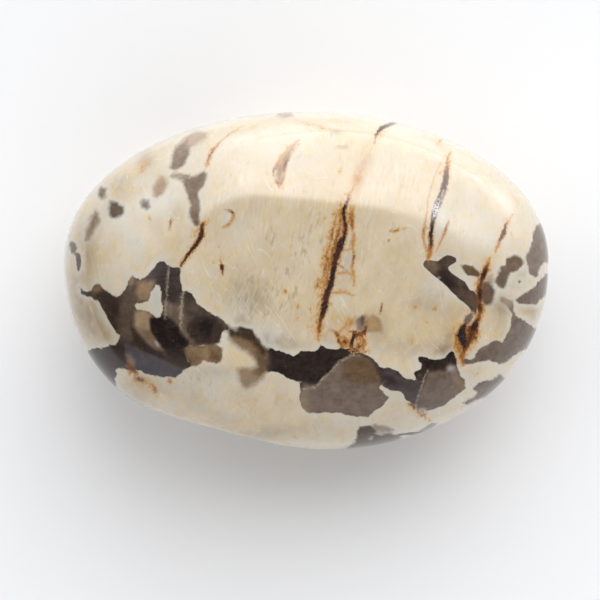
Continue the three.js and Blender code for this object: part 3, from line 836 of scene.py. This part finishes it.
def markings(points):
    """Every marking as one number for each point, in millimetres or as a share."""
    height = points[:, 2] - SECTION_MIDDLE[2]
    upper = seen_at(points)
    lower = seen_at(points, flat=True)
    xy = np.where(height[:, None] > 0, upper, lower)
    under = eased(-height, *UNDERSIDE_TAKES_OVER)
    above = 1 - under

    front, (dark, brown, soft) = quartz_fields(xy, FRONT_QUARTZ, FRONT_ISLANDS)
    back, (back_dark, back_brown, back_soft) = quartz_fields(xy, BACK_QUARTZ, {})
    blue = np.zeros(len(xy))
    for *tones, fade, outline in QUARTZ_ZONES.values():
        inside = eased(edge_distance(xy, outline), -fade, fade)
        for tone, zone_tone in zip((dark, brown, blue), tones):
            tone += inside * (zone_tone - tone)
    fields, halo = vein_fields(xy, np.maximum(0, -height))
    fields["quartz"] = (front * above + back * under) / PIXELS_PER_MM
    fields["quartz_dark"] = dark * above + back_dark * under
    fields["quartz_brown"] = brown * above + back_brown * under
    fields["quartz_soft"] = (soft * above + back_soft * under) / PIXELS_PER_MM
    fields["quartz_blue"] = blue * above
    fields["stain"] = np.maximum(halo, spots(xy, STAINS) * (1 - STAINS_LOST_UNDER * under))
    for name, places in SOFT_PLACES.items():
        fields[name] = spots(xy, places) * above
    # Painted glints on the veins
    fields["glint"] = spots(xy, GLINTS) * above
    return fields


class Nodes:
    """Short names for the nodes that a material or the world here is made of."""

    def __init__(self, block, shader):
        self.block = block
        self.tree = block.node_tree
        self.shader = self.tree.nodes[shader]

    def add(self, kind, **settings):
        node = self.tree.nodes.new(kind)
        for name, value in settings.items():
            setattr(node, name, value)
        return node

    def plug(self, socket, value):
        if isinstance(value, bpy.types.NodeSocket):
            self.tree.links.new(value, socket)
        else:
            socket.default_value = value

    def field(self, name):
        return self.add("ShaderNodeAttribute", attribute_name=name).outputs["Fac"]

    def reckon(self, operation, first, second=0.0, clamp=False):
        node = self.add("ShaderNodeMath", operation=operation, use_clamp=clamp)
        self.plug(node.inputs[0], first)
        self.plug(node.inputs[1], second)
        return node.outputs[0]

    def plus(self, first, second, clamp=False):
        return self.reckon("ADD", first, second, clamp)

    def times(self, first, second):
        return self.reckon("MULTIPLY", first, second)

    def noise(self, scale, detail, roughness, fineness=(1, 1, 1), turn=0.0, warp=0.0):
        """Noise over the stone, in millimetres, turned about Z and made finer or coarser
        along each axis."""
        point = self.add("ShaderNodeTexCoord").outputs["Object"]
        turned = self.add("ShaderNodeMapping", vector_type="POINT")
        self.plug(turned.inputs["Vector"], point)
        turned.inputs["Rotation"].default_value = (0, 0, math.radians(turn))
        scaled = self.add("ShaderNodeMapping", vector_type="POINT")
        self.plug(scaled.inputs["Vector"], turned.outputs["Vector"])
        scaled.inputs["Scale"].default_value = [f / MM for f in fineness]
        node = self.add("ShaderNodeTexNoise")
        self.plug(node.inputs["Vector"], scaled.outputs["Vector"])
        node.inputs["Scale"].default_value = scale
        node.inputs["Detail"].default_value = detail
        node.inputs["Roughness"].default_value = roughness
        node.inputs["Distortion"].default_value = warp
        return node.outputs["Fac"]

    def grade(self, value, low, high, to_low=0.0, to_high=1.0, kind="SMOOTHSTEP"):
        node = self.add("ShaderNodeMapRange", interpolation_type=kind)
        self.plug(node.inputs["Value"], value)
        self.plug(node.inputs["From Min"], low)
        self.plug(node.inputs["From Max"], high)
        self.plug(node.inputs["To Min"], to_low)
        self.plug(node.inputs["To Max"], to_high)
        return node.outputs["Result"]

    def swing(self, noise, amount, spread=0.25):
        """A noise that mostly lies within spread of 0.5, as a swing of amount either way."""
        return self.grade(noise, 0.5 - spread, 0.5 + spread, -amount, amount, "LINEAR")

    def mix(self, share, first, second):
        node = self.add("ShaderNodeMix", data_type="RGBA", clamp_factor=True)
        number, colours = node.inputs[0], [i for i in node.inputs if i.type == "RGBA"]
        self.plug(number, share)
        self.plug(colours[0], first)
        self.plug(colours[1], second)
        return next(o for o in node.outputs if o.type == "RGBA")

    def ramp(self, value, stops):
        node = self.add("ShaderNodeValToRGB")
        self.plug(node.inputs["Fac"], value)
        elements = node.color_ramp.elements
        while len(elements) < len(stops):
            elements.new(0.5)
        for element, (position, tint) in zip(elements, stops):
            element.position = position
            element.color = colour(*tint)
        return node.outputs["Color"]


def new_material(name):
    """A new material's nodes."""
    material = bpy.data.materials.new(name)
    material.use_nodes = True
    return Nodes(material, "Principled BSDF")


def feldspar_colour(n):
    """Cream feldspar: cloudy, with soft greenish dashes and yellowish wisps that lean to
    the right, and a few fine whitish cracks."""
    clouds = n.noise(0.5, 3.0, 0.6, (0.5, 0.35, 0.5), turn=12)
    mottle = n.noise(0.9, 4.0, 0.6, (1.0, 0.7, 0.8), turn=14)
    where = n.noise(0.5, 2.0, 0.5, (0.3, 0.3, 0.3))
    fibres = n.noise(0.9, 4.0, 0.6, (2.6, 0.38, 1.0), turn=10, warp=0.3)
    dashes = n.noise(0.75, 2.0, 0.5, (2.4, 0.75, 1.0), turn=9, warp=0.3)
    wisps = n.noise(0.8, 3.0, 0.6, (0.9, 0.3, 0.6), turn=14, warp=0.3)
    blocks = n.noise(0.6, 2.0, 0.5, (0.6, 0.6, 0.6), warp=0.6)
    grain = n.grade(n.field("streaky"), 0.15, 0.75)
    streaky = n.times(n.grade(where, 0.42, 0.6), grain)
    blocky = n.times(n.grade(blocks, 0.49, 0.58), n.grade(grain, 0.0, 1.0, 0.4, 0.12))

    base = n.mix(n.grade(clouds, 0.36, 0.64), FELDSPAR_TAN, FELDSPAR_CREAM)
    base = n.mix(n.grade(mottle, 0.5, 0.3, 0, 0.35), base, FELDSPAR_WARM_AND_SHADE)
    base = n.mix(n.grade(mottle, 0.5, 0.72, 0, 0.5), base, FELDSPAR_PALE_AND_HIGHLIGHT)
    base = n.mix(blocky, base, FELDSPAR_MILKY)
    # The pale places paint highlight, and the tawny and warm ones on the left edge paint shade
    for name, tint in (("milky", FELDSPAR_MILKY), ("warm", FELDSPAR_WARM_AND_SHADE),
                       ("pale", FELDSPAR_PALE_AND_HIGHLIGHT), ("tawny", FELDSPAR_TAWNY_AND_SHADE)):
        amount = n.plus(n.field(name), n.grade(mottle, 0.3, 0.7, -0.15, 0.15))
        base = n.mix(n.grade(amount, 0.0, 1.0, 0, 1, "LINEAR"), base, tint)
    for name, tint in (("smoky", FELDSPAR_SMOKY), ("rusty", FELDSPAR_RUSTY)):
        amount = n.times(n.field(name), n.grade(mottle, 0.3, 0.7, 0.6, 1.3))
        base = n.mix(amount, base, tint)
    wispy = n.grade(wisps, 0.54, 0.72, 0, n.grade(grain, 0.0, 1.0, 0.3, 0.6))
    base = n.mix(wispy, base, FELDSPAR_YELLOW)
    green = n.plus(n.field("green"), n.grade(dashes, 0.35, 0.75, -0.6, 0.6), clamp=True)
    base = n.mix(n.grade(green, 0.3, 1.1, 0, 0.7), base, FELDSPAR_GREEN)
    dark_fibre = n.times(n.grade(fibres, 0.52, 0.7, 0, 0.25), streaky)
    base = n.mix(dark_fibre, base, FELDSPAR_GREEN)
    pale_fibre = n.times(n.grade(fibres, 0.48, 0.3, 0, 0.35), streaky)
    base = n.mix(pale_fibre, base, FELDSPAR_PALE_AND_HIGHLIGHT)

    scratched = n.grade(n.field("scratched"), 0.0, 1.0, 0.0, 0.5)
    cracked = n.reckon("MAXIMUM", n.grade(where, 0.4, 0.55, 0.45, 0.0), scratched)
    for turn, amount in ((-28, cracked), (24, scratched)):
        waves = n.noise(0.45, 1.0, 0.5, (1.6, 0.16, 1.0), turn=turn)
        line = n.grade(n.reckon("ABSOLUTE", n.reckon("SUBTRACT", waves, 0.5)), 0.012, 0.0)
        base = n.mix(n.times(line, amount), base, FELDSPAR_PALE_AND_HIGHLIGHT)
    return base


def quartz_colour(n):
    """Smoky quartz, from pale grey to near black, brown and blue in places, with small
    whitish flecks."""
    clouds = n.noise(0.7, 6.0, 0.7)
    flecks = n.noise(2.0, 3.0, 0.6, (2.2, 1.0, 1.5), turn=12)
    dark = n.plus(n.field("quartz_dark"), n.grade(clouds, 0.25, 0.75, -0.1, 0.1))
    base = n.mix(n.field("quartz_brown"), n.ramp(dark, QUARTZ_GREY), n.ramp(dark, QUARTZ_BROWN))
    base = n.mix(n.field("quartz_blue"), base, n.ramp(dark, QUARTZ_BLUE))
    return n.mix(n.grade(flecks, 0.66, 0.78, 0, 0.45), base, QUARTZ_FLECKS)


def stained(n, base):
    """Rust in the feldspar: soft ochre blotches that crowd together to orange and brown."""
    mottle = n.noise(1.1, 2.0, 0.55, (2.0, 1.2, 1.5), turn=12)
    grains = n.noise(2.6, 2.0, 0.6)
    mottled = n.grade(mottle, 0.25, 0.75, -0.42, 0.36, "LINEAR")
    uneven = n.plus(mottled, n.swing(grains, 0.2))
    stain = n.plus(n.field("stain"), n.times(uneven, n.grade(n.field("stain"), 0.0, 0.3)))
    for start, complete, cover, tint in RUST:
        base = n.mix(n.grade(stain, start, complete, 0.0, cover), base, tint)
    return base


def vein_over(n, layer, base):
    """One layer's veins laid over what they cut: grainy, rusty at their broken edges and
    darker within, with specks of rust in the filling."""
    jitter = n.noise(1.6, 4.0, 0.7, (1.6, 0.8, 1.0), turn=8)
    grains = n.noise(3.4, 3.0, 0.75)
    specks = n.noise(2.4, 3.0, 0.6, (1.3, 1.0, 1.0))
    offset = n.plus(n.field(layer + "_offset"), n.swing(jitter, 0.2, spread=0.3))
    width = n.plus(n.field(layer + "_width"), n.swing(grains, 0.3, spread=0.3))
    inside = n.reckon("SUBTRACT", width, n.reckon("ABSOLUTE", offset))
    tone_here = n.field(layer + "_tone")
    dark = n.grade(tone_here, 0.1, 0.9)
    low = n.grade(dark, 0.0, 1.0, -0.32, -0.22)
    high = n.grade(dark, 0.0, 1.0, 0.22, 0.12)
    patchy = n.grade(specks, 0.32, 0.56, n.grade(dark, 0.0, 1.0, 0.35, 0.9), 1.0)
    faint = n.grade(tone_here, -0.9, -0.2, 0.4, 1.0)
    cover = n.times(n.times(n.grade(inside, low, high), faint), patchy)
    tone = n.times(tone_here, n.grade(inside, -0.15, 0.22, 0.2, 0.4))
    tone = n.plus(tone, n.grade(specks, 0.3, 0.6, 0.47, 0.37))
    tone = n.plus(tone, n.grade(grains, 0.56, 0.74, 0, -0.14))
    # Painted highlight: the vein's metallic grains painted light grey where they would catch the light
    painted_shine = n.times(n.field("glint"), n.grade(grains, 0.36, 0.6, 0.2, 1.2))
    filling = n.mix(n.grade(painted_shine, 0.3, 0.9, 0, 0.9), n.ramp(tone, VEIN_FILLING), PAINTED_VEIN_GLINT)
    return n.mix(cover, base, filling)


def stone_material():
    """The whole stone's finish: where each mineral lies, its colour and its polish."""
    n = new_material("feldspar")
    ragged = n.noise(2.2, 4.0, 0.6)
    wander = n.noise(0.75, 2.0, 0.5)
    soft = n.field("quartz_soft")
    uneven = n.plus(n.swing(ragged, 0.12), n.swing(wander, 0.2))
    uneven = n.times(uneven, n.grade(soft, 0.05, 0.11, 0.3, 1.0))
    edge = n.plus(n.field("quartz"), uneven)
    in_quartz = n.grade(edge, n.times(soft, -1.0), soft)

    margin = n.grade(edge, -1.1, -0.05, 0.0, n.grade(n.field("quartz_dark"), 0.1, 0.5, 0.1, 0.5))
    feldspar = n.mix(margin, feldspar_colour(n), FELDSPAR_MILKY)
    base = n.mix(in_quartz, stained(n, feldspar), quartz_colour(n))
    for layer in VEIN_LAYERS:
        base = vein_over(n, layer, base)
    sockets = n.shader.inputs
    n.plug(sockets["Base Color"], base)
    n.plug(sockets["Roughness"], n.grade(ragged, 0.3, 0.7, SMOOTHEST, DULLEST))
    sockets["IOR"].default_value = REFRACTIVE_INDEX
    n.plug(sockets["Coat Weight"], n.grade(in_quartz, 0.0, 1.0, COAT_ON_FELDSPAR, COAT_ON_QUARTZ))
    sockets["Coat Roughness"].default_value = COAT_ROUGHNESS
    return n.block


def floor_material():
    """A plain pale floor with a barely visible unevenness."""
    n = new_material("pale floor")
    n.plug(n.shader.inputs["Base Color"], n.mix(n.noise(0.02, 2.0, 0.5), *FLOOR_COLOURS))
    n.shader.inputs["Roughness"].default_value = FLOOR_ROUGHNESS
    return n.block


def new_object(name, data):
    """A new object at the origin of the scene."""
    thing = bpy.data.objects.new(name, data)
    bpy.context.scene.collection.objects.link(thing)
    return thing


def make_stone():
    """The stone's mesh, with its markings as numbers on its corners."""
    grid, squares = grid_of_box(GRID)
    spread = np.tan((grid / np.array(GRID) * 2 - 1) * math.pi / 4)
    points = moved_to_surface(spread * np.array(GRID_BOX)) + SECTION_MIDDLE
    mesh = bpy.data.meshes.new("polished_pebble")
    mesh.from_pydata((points * MM).tolist(), [], squares.tolist())
    mesh.shade_smooth()
    for name, values in markings(points).items():
        attribute = mesh.attributes.new(name, "FLOAT", "POINT")
        attribute.data.foreach_set("value", values.astype(np.float32))
    mesh.materials.append(stone_material())
    stone = new_object("polished_pebble", mesh)
    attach(stone, "root")
    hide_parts("pebble")


def make_floor():
    """A wide pale floor just under the stone."""
    mesh = bpy.data.meshes.new("floor")
    corners = [(x * FLOOR_HALF, y * FLOOR_HALF, -FLOOR_DROP)
               for x, y in ((-1, -1), (1, -1), (1, 1), (-1, 1))]
    mesh.from_pydata(corners, [], [(0, 1, 2, 3)])
    mesh.materials.append(floor_material())
    new_object("floor", mesh)


def make_panel():
    """A soft panel of light that faces the stone and isn't mirrored in it."""
    light = bpy.data.lights.new("front panel", "AREA")
    light.shape = "RECTANGLE"
    light.size, light.size_y = PANEL_SIZE
    light.energy = PANEL_RADIANCE * math.pi * light.size * light.size_y
    panel = new_object("front panel", light)
    panel.location = PANEL_PLACE
    panel.rotation_euler = (-Vector(PANEL_PLACE)).to_track_quat("-Z", "Y").to_euler()
    panel.visible_camera = False
    panel.visible_glossy = False


def make_world():
    """A pale room, darker overhead, where the camera is, and towards -X, with a wide soft
    window to +Y, a dimmer one to -X, a little light from -Y and one small lamp, which
    leaves a glint."""
    world = bpy.data.worlds.new("pale studio")
    world.use_nodes = True
    bpy.context.scene.world = world
    n = Nodes(world, "Background")
    direction = n.add("ShaderNodeTexCoord").outputs["Generated"]
    split = n.add("ShaderNodeSeparateXYZ")
    n.plug(split.inputs[0], direction)
    x, y, z = split.outputs
    room = n.grade(z, 0.3, 0.9, 0.62, 0.08)
    room = n.times(room, n.grade(x, -0.9, 0.2, 0.1, 1.0))
    room = n.plus(room, n.grade(y, -0.54, -0.62, 0.0, 0.28))

    window = n.times(n.grade(y, 0.1, 0.45), n.grade(z, -0.02, 0.5, 0.85, 1.0))
    window = n.times(window, n.grade(x, 0.2, 0.8, 1.0, 0.5))
    window = n.times(window, n.grade(x, 0.0, -0.5, 1.0, 0.2))
    side = n.times(n.grade(x, -0.3, -0.65), n.grade(z, 0.1, 0.45))
    side = n.times(side, n.grade(y, -0.25, 0.05))

    toward = n.add("ShaderNodeVectorMath", operation="DOT_PRODUCT")
    n.plug(toward.inputs[0], direction)
    toward.inputs[1].default_value = Vector(LAMP_DIRECTION).normalized()
    lamp = n.grade(toward.outputs["Value"], math.cos(LAMP_EDGE), math.cos(LAMP_EDGE / 2))

    strength = room
    for light, radiance in (
        (window, WINDOW_RADIANCE), (side, SIDE_RADIANCE), (lamp, LAMP_RADIANCE),
    ):
        strength = n.plus(strength, n.times(light, radiance))
    n.plug(n.shader.inputs["Strength"], strength)
    n.shader.inputs["Color"].default_value = LIGHT_TINT


def make_camera():
    """Looks straight down on the stone, as the photograph does."""
    data = bpy.data.cameras.new("camera")
    data.sensor_width = SENSOR
    data.lens = LENS
    data.clip_end = CAMERA_REACH
    camera = new_object("camera", data)
    camera.location = CAMERA * MM
    bpy.context.scene.camera = camera


make_camera()
make_world()
make_floor()
make_stone()
make_panel()
bpy.context.scene.view_settings.view_transform = "Standard"
